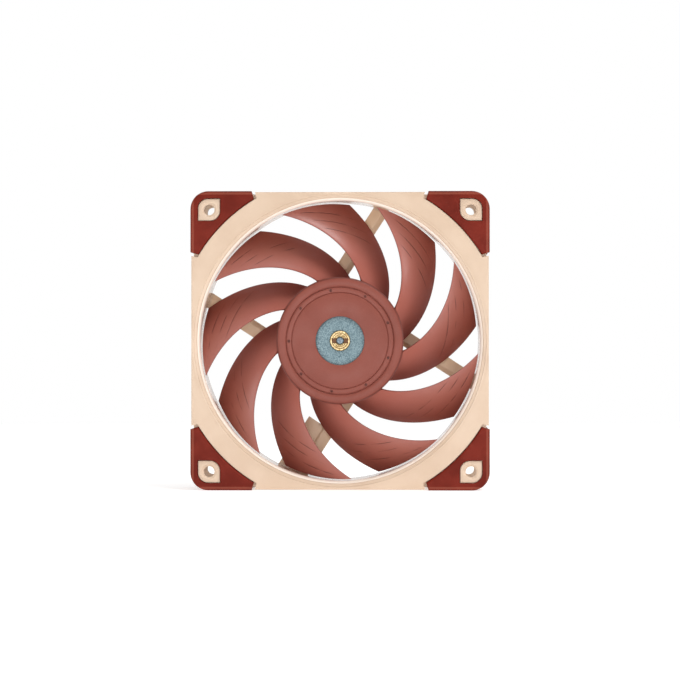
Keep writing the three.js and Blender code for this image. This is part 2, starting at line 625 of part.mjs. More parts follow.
// The front insulator: a sheet over the core, with fences that keep the wire between them.
function insulatorSolid() {
  const rear = CORE_FRONT + LINER_GAP;
  const front = rear + LINER;
  const top = CORE_FRONT + END_TURN;
  const radius = CORE_RADIUS - LINER_GAP;
  const outline = coreOutline(radius, SHOE_THICK, TOOTH_HALF_WIDTH, CORE_HUB);
  const sheet = solid(plate(outline, rear, front, ARC_COARSE));
  const middle = (rear + front) / 2;
  const inner = solid(tube(BOSS_TUBE_BORE, BOSS_TUBE_BORE + LINER_FENCE, rear, top, ROUND_SMALL));
  const ring = solid(tube(radius - SHOE_THICK + LINER_GAP, radius - LINER_GAP, middle, top, ROUND_MID));
  const slots = join([...Array(TEETH).keys()].map((n) =>
    solid(block(CORE_RADIUS, TOOTH_HALF_WIDTH * 5, FAN_SIZE))
      .translate([CORE_RADIUS, 0, 0])
      .rotate([0, 0, ((n + 0.5) * 360) / TEETH])));
  return join([sheet, inner, ring.subtract(slots)]);
}

// The rear insulator is the front one turned over, on posts that stand over the board.
function rearInsulatorSolid() {
  const middle = (CORE_FRONT + CORE_REAR) / 2;
  const over = insulatorSolid().translate([0, 0, -middle]).rotate([180, 0, 0]).translate([0, 0, middle]);
  const sheetFront = CORE_REAR - LINER_GAP;
  const post = solid(cylinder(POST_RADIUS, BOARD_TOP + SEAT_GAP, sheetFront, 12)).translate([PIN_RING, 0, 0]);
  const reach = PIN_RING - BOSS_TUBE_RADIUS;
  const lug = solid(block(reach, POST_RADIUS * 2, LINER))
    .translate([PIN_RING - reach / 2, 0, sheetFront - LINER / 2]);
  const foot = post.add(lug).rotate([0, 0, 180 / TEETH]);
  return join([over, ...[...Array(TEETH).keys()].map((n) => foot.rotate([0, 0, (n * 360) / TEETH]))]);
}

// A winding round one tooth, wound about the tooth's length.
function coilGeometry() {
  const start = CORE_HUB + SEAT_GAP;
  const insideHalf = TOOTH_HALF_WIDTH + LINER_GAP;
  // The shoe's round back is nearest to the coil at the coil's sides.
  const end = Math.sqrt((CORE_RADIUS - SHOE_THICK) ** 2 - (insideHalf + COIL_SIDE) ** 2) - SEAT_GAP;
  const low = CORE_REAR - LINER - 2 * LINER_GAP;
  const high = CORE_FRONT + LINER + 2 * LINER_GAP;
  const outline = roundedBox(insideHalf + COIL_SIDE, low - COIL_END, high + COIL_END, COIL_CORNER);
  outline.holes.push(new THREE.Path([
    new THREE.Vector2(-insideHalf, low), new THREE.Vector2(-insideHalf, high),
    new THREE.Vector2(insideHalf, high), new THREE.Vector2(insideHalf, low),
  ]));
  const place = new THREE.Matrix4()
    .makeBasis(new THREE.Vector3(0, 1, 0), new THREE.Vector3(0, 0, 1), new THREE.Vector3(1, 0, 0))
    .setPosition(start, 0, 0);
  const options = { depth: end - start, bevelEnabled: false, curveSegments: ARC_COARSE };
  return new THREE.ExtrudeGeometry(outline, options).applyMatrix4(place);
}

function roundedBox(half, low, high, corner) {
  const outline = new THREE.Shape();
  outline.absarc(half - corner, high - corner, corner, 0, Math.PI / 2);
  outline.absarc(-half + corner, high - corner, corner, Math.PI / 2, Math.PI);
  outline.absarc(-half + corner, low + corner, corner, Math.PI, 1.5 * Math.PI);
  outline.absarc(half - corner, low + corner, corner, 1.5 * Math.PI, 2 * Math.PI);
  return outline;
}

// ---------------------------------------------------------------- circuit board

function boardGeometry() {
  const outline = circle(new THREE.Shape(), 0, 0, BOARD_RADIUS);
  outline.holes.push(roundHole(0, 0, BOARD_HOLE));
  for (let n = 0; n < TEETH; n += 1) {
    const angle = ((n + 0.5) * 2 * Math.PI) / TEETH;
    outline.holes.push(
      roundHole(PIN_RING * Math.cos(angle), PIN_RING * Math.sin(angle), PIN_RADIUS + SEAT_GAP));
  }
  return plate(outline, BOARD_BOTTOM, BOARD_TOP);
}

const pinGeometry = () =>
  cylinder(PIN_RADIUS, BOARD_BOTTOM - PIN_TAIL, BOARD_TOP + SEAT_GAP - PRESS_GAP, 8);

// Parts soldered to the board: name, width, length, height, place across the board's ring
// (0 at its hole, 1 at its edge) and angle round it.
const BOARD_PARTS = [
  ["driver_chip", 3.9, 4.9, PART_HEIGHT, 0.55, 200],
  ["hall_sensor", 1.5, 3.0, PART_HEIGHT, 0.86, 45],
  ["filter_capacitor", 1.6, 3.2, 1.0, 0.5, 120],
  ["bypass_capacitor", 1.2, 2.0, 0.8, 0.5, 150],
  ["sense_resistor", 1.6, 3.2, 0.6, 0.5, 260],
  ["input_diode", 1.8, 2.8, 1.0, 0.5, 300],
];

// ---------------------------------------------------------------- materials

const material = (color, roughness, metalness = 0) =>
  new THREE.MeshStandardMaterial({ color, roughness, metalness, side: THREE.FrontSide });

const beige = material(0xe8d0b6, 0.45);
const rubber = material(0x7c2a20, 0.6);
const brown = material(0x9c5f55, 0.4);
const steel = material(0x8fa3aa, 0.35, 0.9);
const polished = material(0xc8ccd0, 0.2, 1);
const brass = material(0xc9a860, 0.25, 1);
const bronze = material(0x9a7850, 0.6, 0.7);
const ferrite = material(0x3c3c40, 0.7);
const lamination = material(0x7d8288, 0.4, 0.9);
const nylon = material(0xe9e6da, 0.5);
const copper = material(0xb4683c, 0.3, 1);
const board = material(0x2f5c3a, 0.5);
const black = material(0x1c1c1e, 0.4);
const paper = material(0xd9cfc2, 0.6);

// ---------------------------------------------------------------- assembly

const fan = new THREE.Group();

function add(name, geometry, finish, turn = 0, at = [0, 0, 0]) {
  const mesh = new THREE.Mesh(geometry, finish);
  mesh.name = name;
  mesh.position.set(...at);
  mesh.rotation.z = radians(turn);
  fan.add(mesh);
}

const onRing = (radius, degrees) => {
  const angle = radians(degrees);
  return [radius * Math.cos(angle), radius * Math.sin(angle), 0];
};

function addFrame() {
  add("frame", geometryOf(frameSolid()), beige);
  const labelRadius = Math.min(LABEL_RADIUS, BASE_CUP - SEAT_GAP);
  add("rear_label", cylinder(labelRadius, FRAME_REAR, FRAME_REAR + LABEL_THICK, ROUND_MID), paper);
  const front = padSolid();
  const rear = turnedOver(front);
  ["top_right", "top_left", "bottom_left", "bottom_right"].forEach((corner, n) => {
    add(`front_pad_${corner}`, geometryOf(front), rubber, n * 90);
    add(`rear_pad_${corner}`, geometryOf(rear), rubber, n * 90);
  });
}

function addRotor() {
  add("impeller", geometryOf(impellerSolid()), brown);
  add("rotor_yoke", yokeGeometry(), steel);
  add("ring_magnet", magnetGeometry(), ferrite);
  add("hub_bushing", bushingGeometry(), brass);
  add("shaft", shaftGeometry(), polished);
  add("shaft_clip", clipGeometry(), polished);
}

function addBearing() {
  add("bearing_housing", housingGeometry(), brass);
  add("bearing_sleeve", sleeveGeometry(), bronze);
  add("thrust_pad", thrustPadGeometry(), nylon);
  add("stabiliser_magnet", stabiliserGeometry(), ferrite);
  add("oil_seal", oilSealGeometry(), black);
}

function addStator() {
  add("stator_core", coreGeometry(), lamination);
  add("front_insulator", geometryOf(insulatorSolid()), nylon);
  add("rear_insulator", geometryOf(rearInsulatorSolid()), nylon);
  for (let n = 0; n < TEETH; n += 1) {
    add(`coil_${n + 1}`, coilGeometry(), copper, (n * 360) / TEETH);
    const turn = ((n + 0.5) * 360) / TEETH;
    add(`coil_pin_${n + 1}`, pinGeometry(), polished, 0, onRing(PIN_RING, turn));
  }
}

function addBoard() {
  add("circuit_board", boardGeometry(), board);
  for (const [name, width, length, height, share, angle] of BOARD_PARTS) {
    const [x, y] = onRing(THREE.MathUtils.lerp(BOARD_HOLE, BOARD_RADIUS, share), angle);
    add(name, block(width, length, height), black, angle, [x, y, BOARD_TOP + SOLDER_GAP + height / 2]);
  }
}

addFrame();
addRotor();
addBearing();
addStator();
addBoard();

// Stand the fan on its edge, intake towards -Y, with the origin at its centre.
fan.rotation.x = Math.PI / 2;
fan.position.y = FAN_DEPTH / 2;

export default fan;
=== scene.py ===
# %% [markdown]
# # A square case fan, stood on its edge
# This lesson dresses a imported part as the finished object: a beige moulded frame, dark rubber pads
# on its corners, and a red-brown impeller with a steel and brass motor centre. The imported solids
# give every size and place. The pieces that catch the eye are modelled again here with finer
# curves, and each one rides on the same moving body as the solid that it stands for.

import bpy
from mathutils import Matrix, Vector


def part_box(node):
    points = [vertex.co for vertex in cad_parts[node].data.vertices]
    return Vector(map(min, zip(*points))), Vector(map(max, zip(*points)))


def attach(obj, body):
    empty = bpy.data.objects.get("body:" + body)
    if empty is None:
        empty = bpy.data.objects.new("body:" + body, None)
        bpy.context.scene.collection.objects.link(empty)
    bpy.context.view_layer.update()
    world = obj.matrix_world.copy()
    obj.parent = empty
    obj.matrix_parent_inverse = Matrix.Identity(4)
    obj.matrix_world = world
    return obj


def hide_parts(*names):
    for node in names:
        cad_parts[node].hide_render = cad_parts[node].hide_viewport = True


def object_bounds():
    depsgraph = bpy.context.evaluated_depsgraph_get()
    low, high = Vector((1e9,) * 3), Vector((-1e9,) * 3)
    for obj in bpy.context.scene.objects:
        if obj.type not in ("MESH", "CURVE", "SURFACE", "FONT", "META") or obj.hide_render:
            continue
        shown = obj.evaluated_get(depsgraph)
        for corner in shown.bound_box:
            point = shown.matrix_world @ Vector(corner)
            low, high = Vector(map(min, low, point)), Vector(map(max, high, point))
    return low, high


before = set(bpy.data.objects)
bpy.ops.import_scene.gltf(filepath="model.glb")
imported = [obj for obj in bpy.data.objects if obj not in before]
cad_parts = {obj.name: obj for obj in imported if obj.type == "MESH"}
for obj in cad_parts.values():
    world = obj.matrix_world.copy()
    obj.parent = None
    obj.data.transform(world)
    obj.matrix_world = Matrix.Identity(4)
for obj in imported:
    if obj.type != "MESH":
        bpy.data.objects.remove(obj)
cad_low, cad_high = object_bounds()

# %% Blender modules
import math

import bmesh
import bpy
from mathutils import Matrix, Vector

# %% [markdown]
# ## Working axes
# A fan is easiest to draw lying on its back, in millimetres: X to the right, Y up the face, and Z
# from the outlet (0) to the intake (25). Each finished piece is then stood up and scaled to metres
# once, with its object left at the origin. A pattern on Object coordinates then stays where it is.

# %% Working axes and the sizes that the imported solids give
DEPTH = (cad_high.y - cad_low.y) * 1000
HALF = cad_high.x * 1000


def fan_box(node):
    """A node's lowest and highest corners in the working axes, in millimetres."""
    low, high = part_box(node)
    return (
        Vector((low.x * 1000, low.z * 1000, DEPTH / 2 - high.y * 1000)),
        Vector((high.x * 1000, high.z * 1000, DEPTH / 2 - low.y * 1000)),
    )


def stand_up(bm):
    """Turns a shape from the working axes to the part's own frame."""
    everything = bm.verts[:]
    bmesh.ops.rotate(bm, verts=everything, cent=(0, 0, 0), matrix=Matrix.Rotation(math.pi / 2, 3, "X"))
    bmesh.ops.translate(bm, verts=everything, vec=(0, DEPTH / 2, 0))
    bmesh.ops.scale(bm, verts=everything, vec=(0.001, 0.001, 0.001))


FRAME_REAR, FRAME_FRONT = (corner.z for corner in fan_box("frame"))
FRAME_HALF = fan_box("frame")[1].x
HUB_REAR, HUB_FRONT = (corner.z for corner in fan_box("impeller"))
YOKE_REAR, YOKE_FRONT = (corner.z for corner in fan_box("rotor_yoke"))
YOKE_RADIUS = fan_box("rotor_yoke")[1].x
BUSHING_REAR, BUSHING_FRONT = (corner.z for corner in fan_box("hub_bushing"))
PAD_LIP_REAR = fan_box("front_pad_top_right")[0].z
LABEL_RADIUS = fan_box("rear_label")[1].x
print(f"depth {DEPTH:.1f} mm, half width {HALF:.1f} mm, hub face at {HUB_FRONT:.2f} mm")

# %% [markdown]
# ## Shader sums as Python expressions
# A finish is a set of patterns added and multiplied together. Writing each Math node by hand hides
# the idea, so a small class wraps a socket and lets Python's own signs add the nodes. One method
# makes every other kind of node: its settings go in first, then the values or links of its sockets.

# %% A socket that can be added and multiplied
class Signal:
    def __init__(self, finish, socket):
        self.finish = finish
        self.socket = socket

    def sum(self, operation, first, second):
        return self.finish.node("ShaderNodeMath", {"operation": operation}, {0: first, 1: second})

    def __add__(self, other):
        return self.sum("ADD", self, other)

    def __radd__(self, other):
        return self.sum("ADD", other, self)

    def __sub__(self, other):
        return self.sum("SUBTRACT", self, other)

    def __rsub__(self, other):
        return self.sum("SUBTRACT", other, self)

    def __mul__(self, other):
        return self.sum("MULTIPLY", self, other)

    def __rmul__(self, other):
        return self.sum("MULTIPLY", other, self)

    def __truediv__(self, other):
        return self.sum("DIVIDE", self, other)

    def __rtruediv__(self, other):
        return self.sum("DIVIDE", other, self)

    def __abs__(self):
        return self.sum("ABSOLUTE", self, 0.0)

    def ramp(self, low, high, start=0.0, end=1.0):
        """Runs smoothly from start to end as the signal goes from low to high."""
        return self.finish.node(
            "ShaderNodeMapRange",
            {"interpolation_type": "SMOOTHSTEP"},
            {"Value": self, "From Min": low, "From Max": high, "To Min": start, "To Max": end},
        )


# %% A finish: one material and the nodes in it
class Finish:
    def __init__(self, name, **constants):
        self.material = bpy.data.materials.new(name)
        self.material.use_nodes = True
        self.tree = self.material.node_tree
        self.tree.nodes.clear()
        self.shader = self.tree.nodes.new("ShaderNodeBsdfPrincipled")
        output = self.tree.nodes.new("ShaderNodeOutputMaterial")
        self.tree.links.new(self.shader.outputs["BSDF"], output.inputs["Surface"])
        self.place = self.node("ShaderNodeTexCoord", output="Object")
        self.surface(**constants)

    def node(self, kind, settings=None, sockets=None, output=0):
        made = self.tree.nodes.new(kind)
        for key, value in (settings or {}).items():
            setattr(made, key, value)
        for key, value in (sockets or {}).items():
            self.feed(made.inputs[key], value)
        return Signal(self, made.outputs[output])

    def feed(self, socket, value):
        if isinstance(value, Signal):
            self.tree.links.new(value.socket, socket)
        else:
            socket.default_value = value

    def surface(self, **values):
        """Sets the shader's sockets: Base_Color=..., Roughness=..."""
        for key, value in values.items():
            self.feed(self.shader.inputs[key.replace("_", " ")], value)

    def mix(self, factor, first, second):
        return self.node(
            "ShaderNodeMix", {"data_type": "RGBA"}, {"Factor": factor, 6: first, 7: second}, output=2)

    def noise(self, scale, detail=2.0, roughness=0.5, vector=None):
        return self.node(
            "ShaderNodeTexNoise", None,
            {"Vector": vector or self.place, "Scale": scale, "Detail": detail, "Roughness": roughness})

    def bump(self, height, depth_mm, below=None):
        """A bump of the given depth; below is the bump that it lies on."""
        sockets = {"Height": height, "Distance": depth_mm / 1000, "Strength": 1.0}
        if below:
            sockets["Normal"] = below
        return self.node("ShaderNodeBump", None, sockets)

    def stretched(self, x, y, z):
        """Object coordinates stretched along the axes, for streaks and brush marks."""
        return self.node(
            "ShaderNodeVectorMath", {"operation": "MULTIPLY"}, {0: self.place, 1: (x, y, z)})

    def radius(self):
        """Distance from the fan's axis, in millimetres."""
        flat = self.stretched(1000.0, 0.0, 1000.0)
        return self.node("ShaderNodeVectorMath", {"operation": "LENGTH"}, {0: flat}, output="Value")

    def axis(self, name):
        """How far a point lies along X, Y or Z, in millimetres."""
        return self.node("ShaderNodeSeparateXYZ", None, {0: self.place}, output=name) * 1000.0

    def height(self):
        """Height above the outlet face, in millimetres."""
        return DEPTH / 2 - self.axis("Y")


def paint(red, green, blue):
    """An sRGB colour, 0 to 255, as the linear colour that a shader takes."""
    linear = [
        value / 255 / 12.92 if value <= 10 else ((value / 255 + 0.055) / 1.055) ** 2.4
        for value in (red, green, blue)
    ]
    return (*linear, 1.0)


print("beige in linear light:", [round(value, 3) for value in paint(229, 203, 178)])

# %% [markdown]
# ## Beige frame plastic
# The frame is a satin moulding. Its colour isn't quite even: the melt leaves soft cloudy patches a
# centimetre or two wide, and the mould's spark-eroded wall leaves a grain of a few tenths of a
# millimetre that breaks up the gloss. Handling polishes some places. Three noises at those three
# sizes give the clouding, the grain and the polish.

# %% Beige frame plastic
def moulded(name, light, dark, gloss, grain_mm, shine=0.45):
    """A satin moulding: clouded colour, fine grain and uneven polish."""
    finish = Finish(name, Specular_IOR_Level=shine)
    clouds = finish.noise(70.0, 3.0, 0.55).ramp(0.35, 0.68)
    specks = finish.noise(2600.0, 2.0, 0.6).ramp(0.55, 0.75)
    finish.colour = finish.mix(clouds * 0.7 + specks * 0.22, light, dark)
    polish = finish.noise(160.0, 4.0, 0.6)
    grain = finish.noise(5200.0, 3.0, 0.65)
    finish.gloss = polish.ramp(0.3, 0.7, gloss - 0.06, gloss + 0.08) + grain * 0.05
    finish.surface(Base_Color=finish.colour, Roughness=finish.gloss)
    finish.relief = finish.bump(grain, grain_mm, finish.bump(finish.noise(420.0, 2.0), grain_mm * 2))
    finish.surface(Normal=finish.relief)
    return finish


beige_plastic = moulded("beige_plastic", paint(213, 188, 164), paint(204, 177, 152), 0.34, 0.010)
bright_core = abs(beige_plastic.radius() - 57.4).ramp(1.5, 1.7, 1.0, 0.0)
# Painted light: the struts and the motor base, inside 55 mm of the axis, are painted lighter and warmer than the
# frame's face.
inner_painted_light = beige_plastic.radius().ramp(55.0, 55.8, 1.0, 0.0)
at_intake = beige_plastic.height().ramp(FRAME_FRONT - 5.5, FRAME_FRONT - 4.0)
# Painted reflection: a near-white band round the throat of the intake, where the bore meets the flare.
throat_painted_reflection = abs(beige_plastic.radius() - 56.2).ramp(0.9, 1.3, 0.8, 0.0) * at_intake
inner_painted_light_colour = beige_plastic.mix(inner_painted_light * 0.5, beige_plastic.colour, paint(236, 204, 166))
beige_plastic.surface(
    Base_Color=beige_plastic.mix(throat_painted_reflection, inner_painted_light_colour, paint(246, 234, 222)),
    Roughness=beige_plastic.gloss * (1.0 - bright_core * 0.62),
)
print("made", beige_plastic.material.name)

# %% [markdown]
# ## Pad rubber
# The corner pads are a soft dark red-brown silicone. It is matt, takes up dust, and its tone and
# shine vary in soft patches where it has been rubbed. A paler line about a millimetre in from the
# fan's outer edge is a painted highlight on the pads' rounded rim. Its specular level is the same all
# over, so it is set on the shader's socket.

# %% Pad rubber
pad_rubber = Finish("pad_rubber", Specular_IOR_Level=0.10)
dust = pad_rubber.noise(900.0, 5.0, 0.7).ramp(0.56, 0.74)
mottle = pad_rubber.noise(120.0, 3.0, 0.5)
rubbed = pad_rubber.mix(mottle.ramp(0.3, 0.7), paint(118, 36, 23), paint(101, 29, 18))
out_from_middle = pad_rubber.node(
    "ShaderNodeMath", {"operation": "MAXIMUM"}, {0: abs(pad_rubber.axis("X")), 1: abs(pad_rubber.axis("Z"))})
# Painted highlight: a paler line along the rim, about a millimetre in from the fan's outside edge.
rim_painted_highlight = abs(out_from_middle - 59.0).ramp(0.25, 0.60, 0.30, 0.0)
pad_rubber.surface(
    Base_Color=pad_rubber.mix(dust * 0.10 + rim_painted_highlight, rubbed, paint(176, 104, 84)),
    Roughness=mottle.ramp(0.3, 0.7, 0.40, 0.54),
    Normal=pad_rubber.bump(pad_rubber.noise(3800.0, 4.0, 0.7), 0.016),
)
print("made", pad_rubber.material.name)

# %% [markdown]
# ## Impeller plastic
# The impeller is a glass-filled polymer, harder and a little glossier than the frame. The fibres
# show as a very fine streaky grain. Shallow channels cross the outer half of every blade to guide
# the air. They follow the blade, so they are drawn on the blade's own UV map: U runs from the
# leading to the trailing edge, and V from the hub to the tip. The hub has no map, so it gets none.

# %% Impeller plastic
impeller_plastic = moulded("impeller_plastic", paint(134, 70, 58), paint(124, 62, 50), 0.36, 0.008, 0.26)
chord_and_span = impeller_plastic.node("ShaderNodeUVMap", {"uv_map": "blade"})
chord = impeller_plastic.node("ShaderNodeSeparateXYZ", None, {0: chord_and_span}, output="X")
spanwise = impeller_plastic.node("ShaderNodeSeparateXYZ", None, {0: chord_and_span}, output="Y")
CHANNELS = (0.60, 0.74, 0.88)
faded = impeller_plastic.noise(150.0, 1.0).ramp(0.34, 0.56)
channels = 0.0
for position in CHANNELS:
    offset = abs(spanwise + (chord - 0.45) * 0.32 - position)
    start = 0.14 + 0.30 * (position - CHANNELS[0])
    reach = chord.ramp(start, start + 0.10) * chord.ramp(0.50, 0.80, 1.0, 0.0)
    channels = offset.ramp(0.003, 0.011, 1.0, 0.0) * reach * faded + channels
streaks = impeller_plastic.noise(1.0, 2.0, 0.6, impeller_plastic.stretched(2400.0, 600.0, 2400.0))
on_blade = impeller_plastic.radius().ramp(25.3, 25.7)
# Painted light: the blades are painted lighter than the hub, though both are one moulding.
blades_painted_light = impeller_plastic.mix(on_blade * 0.5, impeller_plastic.colour, paint(160, 82, 68))
# Painted highlight: the leading part of each blade is painted paler and pinker.
leading_side = chord.ramp(0.30, 0.72, 1.0, 0.0) * on_blade
blades_painted_light = impeller_plastic.mix(leading_side * 0.17, blades_painted_light, paint(206, 140, 128))
# Painted shade: a dark ring round the hub's edge, where it meets the blades.
hub_edge_painted_shade = abs(impeller_plastic.radius() - 25.3).ramp(0.25, 0.55, 0.6, 0.0)
# Painted shade: a dark line along each blade's leading and trailing edges.
blade_edge_painted_shade = (chord.ramp(0.02, 0.09, 0.5, 0.0) + chord.ramp(0.91, 0.98, 0.0, 0.5)) * on_blade
# The channels, and the painted shade at the hub's edge and on the blades' edges, all darken towards one dark brown.
shade = impeller_plastic.mix(channels * 0.85 + hub_edge_painted_shade + blade_edge_painted_shade, blades_painted_light, paint(96, 42, 34))
polished = impeller_plastic.radius().ramp(28.0, 42.0) * (0.2 + leading_side * 0.8)
impeller_plastic.surface(
    Coat_Weight=polished * 0.8,
    Coat_Roughness=0.32,
    Roughness=impeller_plastic.gloss + (1.0 - polished) * on_blade * 0.60,
    Base_Color=impeller_plastic.mix(streaks.ramp(0.5, 0.8) * 0.08, shade, paint(178, 116, 106)),
    Normal=impeller_plastic.bump(1.0 - channels, 0.12, impeller_plastic.relief),
)
print("channels on each blade:", len(CHANNELS))

# %% [markdown]
# ## Metals
# Metals differ by how they were worked. The drawn steel cup is zinc plated and speckled, the
# bushing is turned, so its marks run round the axis, and the shaft is ground bright. A turned mark
# is a pattern of the radius alone; a plated speckle is a noise with hard-edged steps.

# %% Steel, brass and the other metals
def metal(name, light, dark, gloss, speckle_scale, turned=0.0, bump_mm=0.008):
    finish = Finish(name, Metallic=1.0)
    speckle = finish.noise(speckle_scale, 4.0, 0.75).ramp(0.42, 0.62)
    patches = finish.noise(260.0, 2.0, 0.5)
    marks = finish.node("ShaderNodeMath", {"operation": "SINE"}, {0: finish.radius() * 38.0})
    height = speckle * (1.0 - turned) + marks * (turned * 0.5)
    finish.colour = finish.mix(speckle * 0.8 + patches * 0.2, light, dark)
    finish.surface(
        Base_Color=finish.colour,
        Roughness=speckle.ramp(0.0, 1.0, gloss, gloss + 0.16) + patches * 0.06,
        Normal=finish.bump(height, bump_mm),
    )
    return finish


plated_steel = metal("plated_steel", paint(119, 136, 141), paint(80, 99, 106), 0.42, 2300.0)
turned_brass = metal("turned_brass", paint(196, 176, 136), paint(142, 116, 76), 0.24, 1500.0, 0.3, 0.001)
# Painted shade: deeper than about a millimetre below the bushing's face, the brass is painted dark brown and made less
# metallic, so its slots and bore read dark.
sunk = BUSHING_FRONT - turned_brass.height()
turned_brass.surface(
    Base_Color=turned_brass.mix(sunk.ramp(0.6, 1.1), turned_brass.colour, paint(92, 56, 24)),
    Metallic=sunk.ramp(0.6, 1.1, 1.0, 0.5),
)
ground_steel = metal("ground_steel", paint(116, 128, 136), paint(84, 94, 104), 0.34, 3000.0, 0.6, 0.002)
sintered_bronze = metal("sintered_bronze", paint(176, 140, 98), paint(120, 92, 62), 0.5, 2600.0)
enamelled_copper = metal("enamelled_copper", paint(206, 122, 72), paint(160, 84, 44), 0.3, 1200.0)
laminated_steel = metal("laminated_steel", paint(158, 162, 168), paint(110, 114, 122), 0.38, 1800.0)
print("metals:", 6)

# %% [markdown]
# ## Small dark and pale parts
# The rest of the motor is hidden in use, but each part still gets its own finish: grey ferrite,
# natural nylon, green board with its solder mask, black resin, and the film of the rear label.
# The label's print is only a pale field with two rings, drawn from the distance to the axis.

# %% Ferrite, nylon, board, resin and label
ferrite = moulded("ferrite", paint(74, 74, 78), paint(50, 50, 54), 0.58, 0.02)
nylon = moulded("nylon", paint(236, 233, 222), paint(222, 217, 200), 0.40, 0.008)
board_mask = moulded("board_mask", paint(46, 96, 60), paint(30, 70, 44), 0.28, 0.004)
black_resin = moulded("black_resin", paint(38, 38, 40), paint(24, 24, 26), 0.42, 0.010)

label_film = moulded("label_film", paint(226, 216, 202), paint(214, 202, 186), 0.34, 0.003)
distance = label_film.radius()
ring_outer = abs(distance - 18.2).ramp(0.30, 0.36, 1.0, 0.0)
ring_inner = abs(distance - 10.5).ramp(0.14, 0.20, 1.0, 0.0)
centre_field = distance.ramp(8.9, 9.0, 1.0, 0.0)
label_film.surface(
    Base_Color=label_film.mix(
        ring_outer + ring_inner + centre_field * 0.8, label_film.colour, paint(122, 62, 52)))
print("label rings at 18.2 and 10.5 mm")

# %% [markdown]
# ## Three ways to make a shape
# Nearly every piece here is turned, or a flat outline given a thickness. A turned piece starts as
# the face of its half section: its corners are rounded by a bevel on its vertices, and its edges
# are spun about the axis. A flat piece starts as the face of its outline, which is extruded, and
# the edges of its rim are bevelled. The Boolean modifier then joins pieces and cuts openings.

# %% Shape helpers
def arc(radius, start, end, steps, centre=(0.0, 0.0)):
    """Points along an arc, both ends included; angles in degrees."""
    angles = [math.radians(start + (end - start) * n / steps) for n in range(steps + 1)]
    return [(centre[0] + radius * math.cos(a), centre[1] + radius * math.sin(a)) for a in angles]


def face_of(bm, points, to_space):
    """The starting face of a shape, with its corners in the order given."""
    return bm.faces.new([bm.verts.new(to_space(*point)) for point in points])


def turn(points, round_mm=0.15, steps=160, sharp=()):
    """A turned piece from its half section, a list of (radius, height) corners."""
    bm = bmesh.new()
    section = face_of(bm, points, lambda radius, height: (radius, 0.0, height))
    corners = [v for n, v in enumerate(section.verts) if v.co.x > 1e-6 and n not in sharp]
    if round_mm:
        bmesh.ops.bevel(
            bm, geom=corners, offset=round_mm, offset_type="OFFSET", segments=2, profile=0.5,
            affect="VERTICES", clamp_overlap=True, material=-1)
    bmesh.ops.delete(bm, geom=bm.faces[:], context="FACES_ONLY")
    on_axis = [e for e in bm.edges if all(v.co.x < 1e-6 for v in e.verts)]
    bmesh.ops.delete(bm, geom=on_axis, context="EDGES")
    bmesh.ops.spin(
        bm, geom=bm.verts[:] + bm.edges[:], cent=(0, 0, 0), axis=(0, 0, 1),
        angle=math.tau, steps=steps, use_merge=True)
    bmesh.ops.remove_doubles(bm, verts=bm.verts[:], dist=1e-4)
    bmesh.ops.recalc_face_normals(bm, faces=bm.faces[:])
    return bm


def slab(outline, low, high, rim_mm=0.0, rim="top", segments=3):
    """A flat piece from its outline, from height low to high, with a rounded rim."""
    bm = bmesh.new()
    base = face_of(bm, outline, lambda x, y: (x, y, low))
    lifted = bmesh.ops.extrude_face_region(bm, geom=[base])["geom"]
    bmesh.ops.translate(bm, verts=[v for v in lifted if isinstance(v, bmesh.types.BMVert)], vec=(0, 0, high - low))
    bmesh.ops.recalc_face_normals(bm, faces=bm.faces[:])
    if rim_mm:
        heights = {"top": (high,), "bottom": (low,), "both": (low, high)}[rim]
        edges = [e for e in bm.edges if any(all(abs(v.co.z - h) < 1e-5 for v in e.verts) for h in heights)]
        bmesh.ops.bevel(
            bm, geom=edges, offset=rim_mm, offset_type="OFFSET", segments=segments, profile=0.5,
            affect="EDGES", clamp_overlap=True, material=-1)
    return bm


def combine(body, tool, operation):
    """Body and tool through a Boolean modifier: UNION, DIFFERENCE or INTERSECT."""
    benches = []
    for bm in (body, tool):
        mesh = bpy.data.meshes.new("bench")
        bm.to_mesh(mesh)
        benches.append(bpy.data.objects.new("bench", mesh))
        bpy.context.scene.collection.objects.link(benches[-1])
        bm.free()
    modifier = benches[0].modifiers.new("combine", "BOOLEAN")
    modifier.operation, modifier.solver, modifier.object = operation, "EXACT", benches[1]
    shaped = benches[0].evaluated_get(bpy.context.evaluated_depsgraph_get())
    result = bmesh.new()
    result.from_mesh(shaped.to_mesh())
    for bench in benches:
        bpy.data.objects.remove(bench)
    return result


def copy_turned(bm, degrees):
    """A copy of a shape, turned about the fan's axis."""
    copy = bm.copy()
    bmesh.ops.rotate(
        copy, verts=copy.verts[:], cent=(0, 0, 0), matrix=Matrix.Rotation(math.radians(degrees), 3, "Z"))
    return copy


def gathered(shapes):
    """Several shapes in one bmesh, not joined to each other."""
    whole = bmesh.new()
    for shape in shapes:
        mesh = bpy.data.meshes.new("gather")
        shape.to_mesh(mesh)
        whole.from_mesh(mesh)
        bpy.data.meshes.remove(mesh)
        shape.free()
    return whole


def finished(name, bm, finish, body, stands_for, smooth_degrees=32):
    """Stands a shape up, gives it its finish and puts it on its body."""
    bmesh.ops.dissolve_degenerate(bm, edges=bm.edges[:], dist=1e-4)
    stand_up(bm)
    mesh = bpy.data.meshes.new(name)
    bm.to_mesh(mesh)
    bm.free()
    mesh.shade_smooth()
    mesh.set_sharp_from_angle(angle=math.radians(smooth_degrees))
    mesh.materials.clear()
    mesh.materials.append(finish.material)
    piece = bpy.data.objects.new(name, mesh)
    bpy.context.scene.collection.objects.link(piece)
    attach(piece, body)
    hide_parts(*stands_for)
    print(f"{name}: {len(mesh.polygons)} faces")
    return piece


